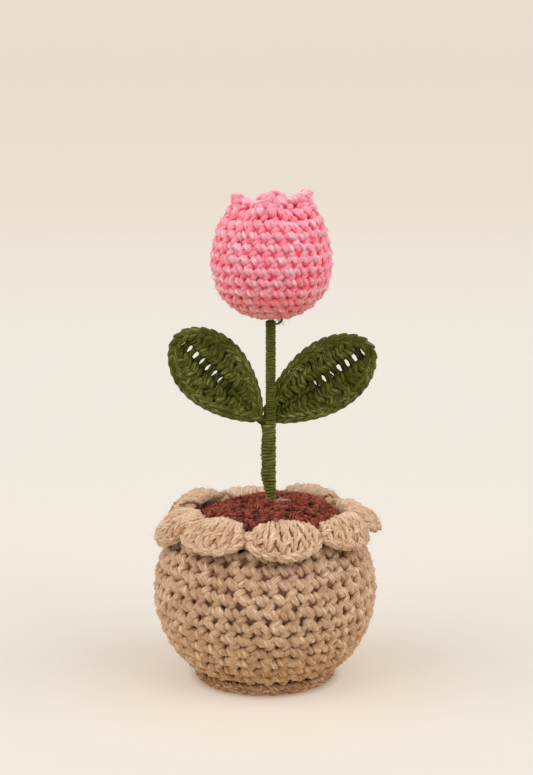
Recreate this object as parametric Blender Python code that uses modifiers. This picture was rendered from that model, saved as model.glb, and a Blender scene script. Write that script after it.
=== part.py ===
"""A crocheted tulip in a crocheted pot, each of its pieces one closed solid.

Metres, +Z up. The origin is the middle of the underside, on the surface that the pot stands on,
and the front is towards -Y.
"""
import math

import bmesh
import bpy
from mathutils import Matrix, Vector

# Clearance between pieces that touch, and round the soft filling
GAP = 0.0003
FILL_GAP = 0.0006

# Pot body: a flattened ball of single crochet, fuller below its middle and open at both ends
POT_RADIUS = 0.0373
POT_HALF_HEIGHT = 0.0335
POT_CENTRE_Z = 0.0315
POT_FULLNESS = 0.87
POT_FOOT_Z = 0.0046
POT_RIM_Z = 0.0515
POT_WALL = 0.0035
POT_ROUNDS = 11
POT_STITCH = 0.0055
POT_RELIEF = 0.0007

# Base: a flat disc with a braided chain edge
BASE_FACE_RADIUS = 0.0221
BASE_EDGE_RADIUS = 0.0237
BASE_HEIGHT = POT_FOOT_Z - GAP
BASE_STITCHES = 42
BASE_RELIEF = 0.0005

# Ruffle: eight shells of double crochet, listed from the front one towards +X
RUFFLE_INNER_RADIUS = 0.0266
RUFFLE_OUTER_RADIUS = 0.0302
RUFFLE_FOOT_Z = POT_RIM_Z + GAP
RUFFLE_TURN = math.radians(11.5)
RUFFLE_STRANDS = 5
RUFFLE_RELIEF = 0.0006
NOTCH_HEIGHT = 0.0062
NOTCH_OPENING = 0.16
SHELL_ROUNDNESS = 0.42
SHELL_REACHES = (0.0389, 0.0386, 0.0400, 0.0378, 0.0375, 0.0367, 0.0376, 0.0378)
SHELL_CRESTS = (0.0612, 0.0601, 0.0589, 0.0606, 0.0590, 0.0612, 0.0589, 0.0603)
SHELL_EDGES = (0.0508, 0.0508, 0.0502, 0.0512, 0.0512, 0.0505, 0.0488, 0.0512)
SHELL_LEANS = (0.0020, 0.0000, 0.0000, 0.0010, 0.0020, 0.0045, 0.0060, 0.0060)

# Soil: a domed disc of brown crochet, highest off its middle and fuller on that side
SOIL_RADIUS = 0.0258
SOIL_FLOOR_Z = 0.0505
SOIL_EDGE_Z = 0.0541
SOIL_TOP_Z = 0.0624
SOIL_PEAK_X = 0.0060
SOIL_FULLNESS = 2.7
SOIL_SKEW = 1.0
SOIL_ROUNDS = 6
SOIL_STITCH = 0.0050
SOIL_RELIEF = 0.0005

# Stem: a wire wound with yarn, which is thicker where it binds the leaf wires
STEM_X = 0.0019
STEM_RADIUS = 0.0017
STEM_FOOT_Z = 0.0530
STEM_TOP_Z = 0.1243
STEM_WRAP_PITCH = 0.0024
STEM_WRAP_RELIEF = 0.00018
STEM_WIRE_RADIUS = 0.0006
STEM_WIRE_ENDS = (0.0300, 0.1500)

# Leaves: flat ovals of double crochet with a chain edge and a row of holes along the midrib
LEAF_HALF_WIDTH = 0.0124
LEAF_BELLY = 1.33
LEAF_COLUMNS = 28
LEAF_EDGE_HALF = 0.0005
LEAF_CHAIN_HALF = 0.0016
LEAF_GROOVE_HALF = 0.0009
LEAF_RIB_HALF = 0.0013
LEAF_RIPPLE = 0.0003
LEAF_SLOT_HALF = 0.0010
LEAF_BOW = 0.0022
LEAF_WIRE_RADIUS = 0.00025
LEAF_WIRE_REACH = 0.0090
LEFT_LEAF_BASE = Vector((-0.0011, 0.0, 0.0897))
LEFT_LEAF_TIP = Vector((-0.0303, 0.0, 0.1188))
LEFT_LEAF_HOLES = (10, 13, 15, 17, 19, 21, 23, 25)
RIGHT_LEAF_BASE = Vector((-0.0007, 0.0043, 0.0891))
RIGHT_LEAF_TIP = Vector((0.0368, 0.0043, 0.1146))
RIGHT_LEAF_HOLES = (13, 15, 17, 19, 21, 23, 25)

# Flower head: a closed cup, its top folded into a four-pointed star
HEAD_X = 0.0022
HEAD_FOOT_Z = STEM_TOP_Z + GAP
HEAD_ROUNDS = 14
HEAD_STITCH = 0.0038
HEAD_RELIEF = 0.0005
HEAD_OUTLINE = (
    (0.0000, 0.0000),
    (0.0095, 0.0018),
    (0.0170, 0.0080),
    (0.0198, 0.0155),
    (0.0200, 0.0215),
    (0.0184, 0.0290),
    (0.0165, 0.0360),
    (0.0142, 0.0413),
)
HEAD_CAVITY = (
    (0.0000, 0.0345),
    (0.0095, 0.0335),
    (0.0140, 0.0285),
    (0.0164, 0.0210),
    (0.0162, 0.0140),
    (0.0138, 0.0085),
    (0.0085, 0.0045),
    (0.0000, 0.0035),
)
STAR_TURN = math.radians(-10.0)
STAR_POINTS = 4
STAR_TIP = 0.0135
STAR_HALF_WIDTH = 0.0025
STAR_HEIGHT = 0.0110
STAR_DIP = 0.0034
STAR_TILT = 0.0011
STAR_TILT_TURN = math.radians(-45.0)

# Turned shapes
TURN_STEPS = 28
MERGE = 0.00001


def clear_scene():
    """Remove whatever the file holds."""
    for old in list(bpy.data.objects):
        bpy.data.objects.remove(old, do_unlink=True)
    for old in list(bpy.data.collections):
        bpy.data.collections.remove(old)


def new_collection(name):
    """Make a collection in the scene."""
    collection = bpy.data.collections.new(name)
    bpy.context.scene.collection.children.link(collection)
    return collection


def new_material(name, colour, roughness, metallic=0.0):
    """Make a plain Principled material."""
    material = bpy.data.materials.new(name)
    material.use_nodes = True
    shader = material.node_tree.nodes["Principled BSDF"]
    shader.inputs["Base Color"].default_value = (*colour, 1.0)
    shader.inputs["Roughness"].default_value = roughness
    shader.inputs["Metallic"].default_value = metallic
    return material


def finish_mesh(name, bm, collection, material=None):
    """Turn a bmesh into a smooth-shaded object."""
    bmesh.ops.recalc_face_normals(bm, faces=bm.faces)
    mesh = bpy.data.meshes.new(name)
    bm.to_mesh(mesh)
    bm.free()
    mesh.shade_smooth()
    mesh.set_sharp_from_angle(angle=math.radians(50))
    obj = bpy.data.objects.new(name, mesh)
    collection.objects.link(obj)
    if material:
        mesh.materials.append(material)
    return obj


def mark_cutter(obj):
    """Keep a cutter out of the finished model."""
    obj.hide_render = True
    obj.display_type = "WIRE"
    return obj


def cut(obj, cutter):
    """Subtract a cutter with a Boolean modifier."""
    boolean = obj.modifiers.new("cut_" + cutter.name, "BOOLEAN")
    boolean.operation = "DIFFERENCE"
    boolean.object = cutter


def turned(name, outline, collection, material=None, centre=(0.0, 0.0, 0.0)):
    """Screw an outline of (radius, height) pairs, listed top to bottom down its outer side."""
    mesh = bpy.data.meshes.new(name)
    points = [(radius, 0.0, height) for radius, height in outline]
    edges = [(index, index + 1) for index in range(len(points) - 1)]
    mesh.from_pydata(points, edges, [])
    obj = bpy.data.objects.new(name, mesh)
    obj.location = centre
    collection.objects.link(obj)
    screw = obj.modifiers.new("turn", "SCREW")
    screw.steps = TURN_STEPS
    screw.render_steps = TURN_STEPS
    screw.use_merge_vertices = True
    screw.merge_threshold = MERGE
    screw.use_smooth_shade = True
    if material:
        mesh.materials.append(material)
    return obj


def tube(name, points, radii, collection, material=None, resolution=2):
    """Make a closed tube mesh along points, from a poly curve with a radius at each point."""
    curve = bpy.data.curves.new(name, "CURVE")
    curve.dimensions = "3D"
    curve.bevel_depth = 1.0
    curve.bevel_resolution = resolution
    curve.use_fill_caps = True
    spline = curve.splines.new("POLY")
    spline.points.add(len(points) - 1)
    for target, point, radius in zip(spline.points, points, radii):
        target.co = (*point, 1.0)
        target.radius = radius
    guide = bpy.data.objects.new(name + "_curve", curve)
    collection.objects.link(guide)
    bpy.context.view_layer.update()
    evaluated = guide.evaluated_get(bpy.context.evaluated_depsgraph_get())
    mesh = bpy.data.meshes.new_from_object(evaluated)
    bm = bmesh.new()
    bm.from_mesh(mesh)
    bmesh.ops.remove_doubles(bm, verts=bm.verts, dist=MERGE)
    obj = finish_mesh(name, bm, collection, material)
    obj.matrix_world = guide.matrix_world
    bpy.data.objects.remove(guide, do_unlink=True)
    bpy.data.meshes.remove(mesh)
    return obj


def zip_rings(bm, lower, upper):
    """Join two rings of vertices, whose counts may differ, with a band of triangles."""
    low, high = 0, 0
    while low < len(lower) or high < len(upper):
        low_next = (low + 1) / len(lower)
        high_next = (high + 1) / len(upper)
        here = lower[low % len(lower)]
        above = upper[high % len(upper)]
        if low_next <= high_next:
            low += 1
            bm.faces.new((here, lower[low % len(lower)], above))
        else:
            high += 1
            bm.faces.new((here, upper[high % len(upper)], above))


def lofted(name, rings, collection, material):
    """Skin rings of points from bottom to top and close both ends with a fan."""
    bm = bmesh.new()
    loops = [[bm.verts.new(point) for point in ring] for ring in rings]
    for lower, upper in zip(loops, loops[1:]):
        zip_rings(bm, lower, upper)
    for loop in (loops[0], loops[-1]):
        middle = sum((vert.co for vert in loop), Vector()) / len(loop)
        hub = bm.verts.new(middle)
        for here, after in zip(loop, loop[1:] + loop[:1]):
            bm.faces.new((here, after, hub))
    return finish_mesh(name, bm, collection, material)


def surface_normal(place, turn, along):
    """Outward normal of a surface that is given by a turn angle and a distance upwards."""
    step = 0.01
    reach = 0.0002
    around = place(turn + step, along) - place(turn - step, along)
    upward = place(turn, along + reach) - place(turn, along - reach)
    return around.cross(upward).normalized()


def stitched_rings(place, girth, start, end, rounds, stitch, relief):
    """Two vertex rings for each round of stitches: one over them and one in the groove above."""
    rings = []
    pitch = (end - start) / rounds
    for number in range(rounds):
        middle = start + (number + 0.5) * pitch
        stitches = max(5, round(girth(middle) / stitch))
        shift = math.pi / stitches * (number % 2)
        rows = [(middle, relief, -0.3 * relief)]
        if number < rounds - 1:
            rows.append((middle + 0.5 * pitch, -0.6 * relief, -1.6 * relief))
        for along, over_stitch, between in rows:
            ring = []
            for index in range(2 * stitches):
                turn = shift + math.pi * index / stitches
                height = over_stitch if index % 2 == 0 else between
                ring.append(place(turn, along) + height * surface_normal(place, turn, along))
            rings.append(ring)
    return rings


def plain_ring(radius, height, count, centre_x=0.0):
    """A level circle of points."""
    turns = [2.0 * math.pi * index / count for index in range(count)]
    return [Vector((centre_x + radius * math.cos(t), radius * math.sin(t), height)) for t in turns]


# Pot body

def pot_radius(height):
    """Radius of the pot at a height."""
    rise = (height - POT_CENTRE_Z) / POT_HALF_HEIGHT
    power = 0.5 * POT_FULLNESS if rise < 0.0 else 0.5
    return POT_RADIUS * (1.0 - rise * rise) ** power


def pot_place(turn, tilt):
    """A point of the pot's outside: tilt is the angle of latitude on its ball."""
    height = POT_CENTRE_Z + POT_HALF_HEIGHT * math.sin(tilt)
    radius = pot_radius(height)
    return Vector((radius * math.cos(turn), radius * math.sin(turn), height))


def pot_tilt(height):
    """Latitude of a height on the pot's ball."""
    return math.asin((height - POT_CENTRE_Z) / POT_HALF_HEIGHT)


def pot_cavity_outline(top, bottom, clearance):
    """Outline of the space in the pot, from its top down, a clearance inside the wall."""
    steps = 10
    heights = [top + (bottom - top) * index / steps for index in range(steps + 1)]
    sides = [(pot_radius(height) - POT_WALL - clearance, height) for height in heights]
    return [(0.0, top)] + sides + [(0.0, bottom)]


def build_pot_body(parts, cutters, yarn):
    """The crocheted ball, hollowed by a turned cutter."""
    low, high = pot_tilt(POT_FOOT_Z), pot_tilt(POT_RIM_Z)

    def girth(tilt):
        return 2.0 * math.pi * POT_RADIUS * math.cos(tilt)

    rings = stitched_rings(pot_place, girth, low, high, POT_ROUNDS, POT_STITCH, POT_RELIEF)
    foot = plain_ring(pot_radius(POT_FOOT_Z), POT_FOOT_Z, len(rings[0]))
    rim = plain_ring(pot_radius(POT_RIM_Z), POT_RIM_Z, len(rings[-1]))
    body = lofted("pot_body", [foot] + rings + [rim], parts, yarn)
    overshoot = 0.001
    outline = pot_cavity_outline(POT_RIM_Z + overshoot, POT_FOOT_Z - overshoot, 0.0)
    cut(body, mark_cutter(turned("pot_cavity", outline, cutters)))


def build_pot_base(parts, yarn):
    """The flat base with chain stitches round its edge."""
    count = 2 * BASE_STITCHES
    rows = (
        (BASE_FACE_RADIUS, 0.0, 0.0),
        (BASE_EDGE_RADIUS - 0.0004, 0.0012, BASE_RELIEF),
        (BASE_EDGE_RADIUS - 0.0008, 0.0023, -BASE_RELIEF),
        (BASE_EDGE_RADIUS - 0.0004, 0.0033, BASE_RELIEF),
        (BASE_FACE_RADIUS, BASE_HEIGHT, 0.0),
    )
    rings = []
    for number, (radius, height, bump) in enumerate(rows):
        ring = plain_ring(radius, height, count)
        for index, point in enumerate(ring):
            side = 1.0 if (index + number // 2) % 2 == 0 else -0.6
            outward = Vector((point.x, point.y, 0.0)).normalized()
            ring[index] = point + bump * side * outward
        rings.append(ring)
    lofted("pot_base", rings, parts, yarn)


# Ruffle

def ruffle_section(opening, reach, crest, edge, lean):
    """Section of the ruffle, from its inner foot over the crest and back under the flap.

    opening runs from 0 at a notch between two shells to 1 at a shell's middle. lean is how far
    the shell's inner lip reaches over the soil, and it draws the shoulder in as well.
    """
    flap = reach - RUFFLE_OUTER_RADIUS
    drop = crest - edge
    inner_rise = crest - RUFFLE_FOOT_Z
    wide = (
        (RUFFLE_INNER_RADIUS, RUFFLE_FOOT_Z),
        (RUFFLE_INNER_RADIUS, RUFFLE_FOOT_Z + 0.45 * inner_rise),
        (RUFFLE_INNER_RADIUS + 0.0010 - lean, RUFFLE_FOOT_Z + 0.82 * inner_rise),
        (RUFFLE_OUTER_RADIUS - 0.75 * lean, crest),
        (RUFFLE_OUTER_RADIUS + 0.37 * flap - 0.18 * lean, crest - 0.06 * drop),
        (RUFFLE_OUTER_RADIUS + 0.70 * flap - 0.15 * lean, crest - 0.29 * drop),
        (RUFFLE_OUTER_RADIUS + 0.90 * flap, crest - 0.58 * drop),
        (reach, crest - 0.84 * drop),
        (RUFFLE_OUTER_RADIUS + 0.86 * flap, edge),
        (RUFFLE_OUTER_RADIUS + 0.67 * flap, edge + 0.11 * drop),
        (RUFFLE_OUTER_RADIUS + 0.50 * flap, edge + 0.42 * drop),
        (RUFFLE_OUTER_RADIUS + 0.22 * flap, edge + 0.62 * drop),
        (RUFFLE_OUTER_RADIUS + 0.02 * flap, edge + 0.48 * drop),
        (RUFFLE_OUTER_RADIUS, RUFFLE_FOOT_Z),
    )
    last = len(wide) - 1
    section = []
    for index, (radius, height) in enumerate(wide):
        lap = math.pi * index / last
        centre = 0.5 * (RUFFLE_INNER_RADIUS + RUFFLE_OUTER_RADIUS)
        half = 0.5 * (RUFFLE_OUTER_RADIUS - RUFFLE_INNER_RADIUS)
        notch_radius = centre - half * math.cos(lap)
        notch_height = RUFFLE_FOOT_Z + NOTCH_HEIGHT * math.sin(lap)
        section.append((
            notch_radius + (radius - notch_radius) * opening,
            notch_height + (height - notch_height) * opening,
        ))
    return section


def build_ruffle(parts, yarn):
    """A ring of folded shells, ribbed by their strands."""
    shells = len(SHELL_REACHES)
    steps = 2 * RUFFLE_STRANDS
    ribbed = range(2, 8)
    bm = bmesh.new()
    loops = []
    for number in range(shells * steps):
        shell, step = divmod(number, steps)
        across = step / steps
        swell = math.sin(math.pi * across) ** SHELL_ROUNDNESS if step else 0.0
        opening = NOTCH_OPENING + (1.0 - NOTCH_OPENING) * swell
        section = ruffle_section(
            opening, SHELL_REACHES[shell], SHELL_CRESTS[shell], SHELL_EDGES[shell],
            SHELL_LEANS[shell])
        turn = 2.0 * math.pi * (shell - 0.5 + across) / shells + RUFFLE_TURN - 0.5 * math.pi
        rib = RUFFLE_RELIEF * (1.0 if step % 2 else -1.0)
        loop = []
        for index, (radius, height) in enumerate(section):
            if index in ribbed:
                before, after = Vector(section[index - 1]), Vector(section[index + 1])
                tangent = (after - before).normalized()
                radius -= rib * tangent.y
                height += rib * tangent.x
            loop.append(bm.verts.new((radius * math.cos(turn), radius * math.sin(turn), height)))
        loops.append(loop)
    for here, after in zip(loops, loops[1:] + loops[:1]):
        for index in range(len(here)):
            nxt = (index + 1) % len(here)
            bm.faces.new((here[index], after[index], after[nxt]))
            bm.faces.new((here[index], after[nxt], here[nxt]))
    finish_mesh("pot_ruffle", bm, parts, yarn)


# Filling and soil

def build_pot_stuffing(parts, cutters, fibre):
    """The fill of the pot, with a plain hole for the stem's wire."""
    outline = pot_cavity_outline(SOIL_FLOOR_Z - GAP, POT_FOOT_Z, FILL_GAP)
    stuffing = turned("pot_stuffing", outline, parts, fibre)
    ends = (STEM_WIRE_ENDS[0] - GAP, SOIL_FLOOR_Z + 0.001)
    hole = straight_tube("pot_stuffing_hole", STEM_WIRE_RADIUS + GAP, ends, cutters)
    cut(stuffing, mark_cutter(hole))


def soil_place(turn, along):
    """A point of the soil's top: along runs from 0 at its edge to 1 at its middle."""
    outward = 1.0 - along
    radius = SOIL_RADIUS * outward
    drop = outward ** (SOIL_FULLNESS + SOIL_SKEW * math.cos(turn))
    height = SOIL_TOP_Z - (SOIL_TOP_Z - SOIL_EDGE_Z) * drop
    centre = SOIL_PEAK_X * along
    return Vector((centre + radius * math.cos(turn), radius * math.sin(turn), height))


def build_soil(parts, cutters, yarn):
    """The domed disc, in stitches from edge to middle, with a plain hole for the stem."""

    def girth(along):
        return 2.0 * math.pi * SOIL_RADIUS * (1.0 - along)

    rings = stitched_rings(soil_place, girth, 0.02, 0.95, SOIL_ROUNDS, SOIL_STITCH, SOIL_RELIEF)
    foot = plain_ring(SOIL_RADIUS, SOIL_FLOOR_Z, len(rings[0]))
    shoulder = plain_ring(SOIL_RADIUS, SOIL_EDGE_Z - 0.0012, len(rings[0]))
    soil = lofted("soil", [foot, shoulder] + rings, parts, yarn)
    ends = (SOIL_FLOOR_Z - 0.002, SOIL_TOP_Z + 0.002)
    hole = straight_tube("soil_hole", STEM_RADIUS + GAP, ends, cutters)
    cut(soil, mark_cutter(hole))


# Stem and wires

def straight_tube(name, radius, ends, collection, material=None):
    """An upright rod on the stem's axis."""
    points = [(STEM_X, 0.0, height) for height in ends]
    return tube(name, points, [radius, radius], collection, material)


def stem_sides(height):
    """Left and right side of the yarn winding at a height."""
    thin = (STEM_X - STEM_RADIUS, STEM_X + STEM_RADIUS)
    stations = (
        (0.0625, *thin),
        (0.0660, -0.0003, 0.0037),
        (0.0705, -0.0015, 0.0037),
        (0.0745, -0.0011, 0.0037),
        (0.0780, -0.0015, 0.0037),
        (0.0840, -0.0011, 0.0037),
        (0.0880, -0.0005, 0.0036),
        (0.0905, *thin),
    )
    if height <= stations[0][0] or height >= stations[-1][0]:
        return thin
    for lower, upper in zip(stations, stations[1:]):
        if height <= upper[0]:
            share = (height - lower[0]) / (upper[0] - lower[0])
            return tuple(lower[side] + share * (upper[side] - lower[side]) for side in (1, 2))
    return thin


def leaf_axis(base, tip):
    """Unit direction from a leaf's base to its tip."""
    return (tip - base).normalized()


def leaf_wire_route(base, tip, side):
    """A leaf wire: up inside the winding, out to the leaf's base and into the leaf."""
    seat = 0.00065 * side
    bound = [Vector((0.0, seat, 0.0700)), Vector((0.0, seat, 0.0840))]
    entry = base - 0.0008 * leaf_axis(base, tip)
    elbow = bound[1].lerp(entry, 0.55) + Vector((-0.0003, 0.0, 0.0))
    end = base + LEAF_WIRE_REACH * leaf_axis(base, tip)
    return bound + [elbow, entry, end]


LEAF_WIRES = (
    ("leaf_wire_left", leaf_wire_route(LEFT_LEAF_BASE, LEFT_LEAF_TIP, -1.0)),
    ("leaf_wire_right", leaf_wire_route(RIGHT_LEAF_BASE, RIGHT_LEAF_TIP, 1.0)),
)


def wire_hole(name, route, cutters):
    """A cutter along a leaf wire, wider than the wire all round."""
    lengthened = list(route)
    lengthened[0] = route[0] - Vector((0.0, 0.0, GAP))
    lengthened[-1] = route[-1] + GAP * (route[-1] - route[-2]).normalized()
    radius = LEAF_WIRE_RADIUS + 0.8 * GAP
    return mark_cutter(tube(name, lengthened, [radius] * len(route), cutters))


def build_stem(parts, cutters, yarn, wire):
    """The stem's wire, its yarn winding and the two leaf wires in it."""
    straight_tube("stem_wire", STEM_WIRE_RADIUS, STEM_WIRE_ENDS, parts, wire)
    turns = round((STEM_TOP_Z - STEM_FOOT_Z) / STEM_WRAP_PITCH)
    points, radii = [], []
    for index in range(2 * turns + 1):
        height = STEM_FOOT_Z + (STEM_TOP_Z - STEM_FOOT_Z) * index / (2 * turns)
        left, right = stem_sides(height)
        points.append((0.5 * (left + right), 0.0, height))
        radii.append(0.5 * (right - left) - STEM_WRAP_RELIEF * (1 - index % 2))
    wrap = tube("stem_wrap", points, radii, parts, yarn, resolution=3)
    ends = (STEM_FOOT_Z - 0.001, STEM_TOP_Z + 0.001)
    bore = straight_tube("stem_bore", STEM_WIRE_RADIUS + GAP, ends, cutters)
    cut(wrap, mark_cutter(bore))
    for name, route in LEAF_WIRES:
        tube(name, route, [LEAF_WIRE_RADIUS] * len(route), parts, wire, resolution=1)
        cut(wrap, wire_hole(name + "_bore", route, cutters))


# Leaves

def leaf_half_width(along):
    """Half width of a leaf at a share of its length."""
    return LEAF_HALF_WIDTH * math.sqrt(math.sin(math.pi * along ** LEAF_BELLY))


def leaf_station(column, length):
    """Places across a leaf at one column: (across, half thickness) from one edge to the other."""
    along = 0.01 + 0.98 * column / LEAF_COLUMNS
    half = leaf_half_width(along)
    ripple = LEAF_RIPPLE if column % 2 else -LEAF_RIPPLE
    slot = min(LEAF_SLOT_HALF, 0.25 * half)
    one_side = (
        (half + 0.5 * ripple, LEAF_EDGE_HALF),
        (0.85 * half, LEAF_CHAIN_HALF + ripple),
        (0.66 * half, LEAF_GROOVE_HALF),
        (max(0.36 * half, slot + 0.0003), LEAF_RIB_HALF - ripple),
        (slot, LEAF_RIB_HALF - 0.0002),
    )
    other_side = [(-across, thick) for across, thick in reversed(one_side)]
    return along * length, list(one_side) + other_side


def build_leaf(name, base, tip, holes, cutters, wire_route, parts, yarn):
    """A leaf as two relief faces, walled round its edge and round the holes of its midrib."""
    axis = leaf_axis(base, tip)
    normal = Vector((0.0, -1.0, 0.0))
    across_axis = normal.cross(axis)
    length = (tip - base).length
    bm = bmesh.new()
    faces = {1: [], -1: []}
    for column in range(LEAF_COLUMNS + 1):
        reach, station = leaf_station(column, length)
        bow = LEAF_BOW * (reach / length) ** 2
        for side in faces:
            line = []
            for across, thick in station:
                offset = (side * thick - bow) * normal
                line.append(bm.verts.new(base + reach * axis + across * across_axis + offset))
            faces[side].append(line)
    rows = len(faces[1][0]) - 1
    midrib = rows // 2

    def is_solid(column, row):
        inside = 0 <= column < LEAF_COLUMNS and 0 <= row < rows
        return inside and not (row == midrib and column in holes)

    def wall(first, second):
        front, back = faces[1], faces[-1]
        (i, j), (k, m) = first, second
        bm.faces.new((front[i][j], front[k][m], back[k][m]))
        bm.faces.new((front[i][j], back[k][m], back[i][j]))

    for column in range(LEAF_COLUMNS):
        for row in range(rows):
            if not is_solid(column, row):
                continue
            for side, grid in faces.items():
                corners = (grid[column][row], grid[column + 1][row],
                           grid[column + 1][row + 1], grid[column][row + 1])
                bm.faces.new((corners[0], corners[1], corners[2]))
                bm.faces.new((corners[0], corners[2], corners[3]))
            corner, along = (column, row), (column + 1, row)
            opposite, over = (column + 1, row + 1), (column, row + 1)
            if not is_solid(column, row - 1):
                wall(corner, along)
            if not is_solid(column + 1, row):
                wall(along, opposite)
            if not is_solid(column, row + 1):
                wall(opposite, over)
            if not is_solid(column - 1, row):
                wall(over, corner)
    leaf = finish_mesh(name, bm, parts, yarn)
    cut(leaf, wire_hole(name + "_bore", wire_route, cutters))


# Flower head

def smooth_outline(points, samples):
    """Catmull-Rom points through an outline."""
    padded = [points[0]] + list(points) + [points[-1]]
    result = []
    for a, b, c, d in zip(padded, padded[1:], padded[2:], padded[3:]):
        for index in range(samples):
            t = index / samples
            result.append(tuple(
                0.5 * (2 * q + (r - p) * t + (2 * p - 5 * q + 4 * r - s) * t * t
                       + (3 * q - p - 3 * r + s) * t ** 3)
                for p, q, r, s in zip(a, b, c, d)))
    result.append(points[-1])
    return result


HEAD_CURVE = smooth_outline(HEAD_OUTLINE, 8)


def head_lengths():
    """Distance along the head's outline at each of its points."""
    lengths = [0.0]
    for (r0, z0), (r1, z1) in zip(HEAD_CURVE, HEAD_CURVE[1:]):
        lengths.append(lengths[-1] + math.hypot(r1 - r0, z1 - z0))
    return lengths


HEAD_LENGTHS = head_lengths()
HEAD_SPAN = HEAD_LENGTHS[-1]


def head_outline_at(along):
    """Radius and height of the head's outline at a distance from its foot."""
    along = min(max(along, 0.0), HEAD_SPAN)
    for index, reached in enumerate(HEAD_LENGTHS[1:]):
        if along <= reached:
            before = HEAD_LENGTHS[index]
            share = (along - before) / (reached - before)
            (r0, z0), (r1, z1) = HEAD_CURVE[index], HEAD_CURVE[index + 1]
            return r0 + share * (r1 - r0), z0 + share * (z1 - z0)
    return HEAD_CURVE[-1]


def star_point(turn, inset):
    """A point of the folded rim: stitches stay evenly spaced along the star's arms."""
    sector = 2.0 * math.pi / STAR_POINTS
    nearest = round(turn / sector)
    lead = (turn - nearest * sector) / (0.5 * sector)
    tip = Vector((STAR_TIP - inset, 0.0))
    shoulder = Vector((STAR_TIP - inset - 0.0010, STAR_HALF_WIDTH - 0.3 * inset))
    valley = Vector((1.0, 1.0)) * (STAR_HALF_WIDTH - 0.3 * inset)
    bend = 0.2
    share = abs(lead)
    if share < bend:
        point = tip.lerp(shoulder, share / bend)
    else:
        point = shoulder.lerp(valley, (share - bend) / (1.0 - bend))
    if lead < 0.0:
        point.y = -point.y
    point.rotate(Matrix.Rotation(nearest * sector, 2))
    return point, 1.0 - share


def head_place(turn, along, inset=0.0):
    """A point of the head: round below, folded into a star towards its rim."""
    radius, height = head_outline_at(along)
    radius = max(radius - inset, 0.0)
    fold = min(max((along - (HEAD_SPAN - STAR_HEIGHT)) / STAR_HEIGHT, 0.0), 1.0) ** 1.25
    level = Vector((radius * math.cos(turn), radius * math.sin(turn)))
    star, ridge = star_point(turn, inset)
    level = level.lerp(star, fold)
    level.rotate(Matrix.Rotation(STAR_TURN, 2))
    tilt = STAR_TILT * math.cos(turn + STAR_TURN - STAR_TILT_TURN)
    height += fold * (STAR_DIP * (ridge - 0.75) + tilt)
    return Vector((HEAD_X + level.x, level.y, HEAD_FOOT_Z + height))


def inset_outline(outline):
    """A closed outline drawn in by the clearance of a filling."""
    top, bottom = outline[0][1], outline[-1][1]
    middle = 0.5 * (top + bottom)
    squeeze = 1.0 - 2.0 * FILL_GAP / (top - bottom)
    return [(max(radius - FILL_GAP, 0.0), middle + squeeze * (height - middle))
            for radius, height in outline]


def build_flower_head(parts, cutters, yarn, fibre):
    """The stitched head, hollowed for its filling and pierced for the wire."""

    def girth(along):
        return 2.0 * math.pi * head_outline_at(along)[0]

    rings = stitched_rings(head_place, girth, 0.0, HEAD_SPAN, HEAD_ROUNDS, HEAD_STITCH, HEAD_RELIEF)
    rim = [head_place(2.0 * math.pi * index / len(rings[-1]), HEAD_SPAN)
           for index in range(len(rings[-1]))]
    head = lofted("flower_head", rings + [rim], parts, yarn)
    centre = (HEAD_X, 0.0, HEAD_FOOT_Z)
    cut(head, mark_cutter(turned("flower_cavity", HEAD_CAVITY, cutters, centre=centre)))
    ends = (HEAD_FOOT_Z - 0.002, HEAD_FOOT_Z + 0.006)
    hole = straight_tube("flower_hole", STEM_WIRE_RADIUS + GAP, ends, cutters)
    cut(head, mark_cutter(hole))
    stuffing = turned("flower_stuffing", inset_outline(HEAD_CAVITY), parts, fibre, centre=centre)
    ends = (HEAD_FOOT_Z + 0.002, STEM_WIRE_ENDS[1] + GAP)
    core = straight_tube("flower_stuffing_hole", STEM_WIRE_RADIUS + GAP, ends, cutters)
    cut(stuffing, mark_cutter(core))


def build():
    """Model every piece of the potted tulip."""
    clear_scene()
    parts = new_collection("potted_tulip")
    cutters = new_collection("cutters")
    beige = new_material("beige_yarn", (0.56, 0.40, 0.26), 0.85)
    brown = new_material("brown_yarn", (0.17, 0.05, 0.03), 0.95)
    green = new_material("green_yarn", (0.05, 0.09, 0.02), 0.85)
    pink = new_material("pink_yarn", (0.85, 0.24, 0.33), 0.8)
    fibre = new_material("stuffing_fibre", (0.90, 0.89, 0.86), 0.95)
    wire = new_material("steel_wire", (0.45, 0.45, 0.44), 0.4, metallic=1.0)
    build_pot_body(parts, cutters, beige)
    build_pot_base(parts, beige)
    build_ruffle(parts, beige)
    build_pot_stuffing(parts, cutters, fibre)
    build_soil(parts, cutters, brown)
    build_stem(parts, cutters, green, wire)
    leaves = (
        ("leaf_left", LEFT_LEAF_BASE, LEFT_LEAF_TIP, LEFT_LEAF_HOLES),
        ("leaf_right", RIGHT_LEAF_BASE, RIGHT_LEAF_TIP, RIGHT_LEAF_HOLES),
    )
    for (name, base, tip, holes), (_, route) in zip(leaves, LEAF_WIRES):
        build_leaf(name, base, tip, holes, cutters, route, parts, green)
    build_flower_head(parts, cutters, pink, fibre)


build()
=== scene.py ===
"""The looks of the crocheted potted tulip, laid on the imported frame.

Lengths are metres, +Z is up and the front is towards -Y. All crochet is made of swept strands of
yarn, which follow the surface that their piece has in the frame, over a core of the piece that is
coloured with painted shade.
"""
import math

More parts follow.
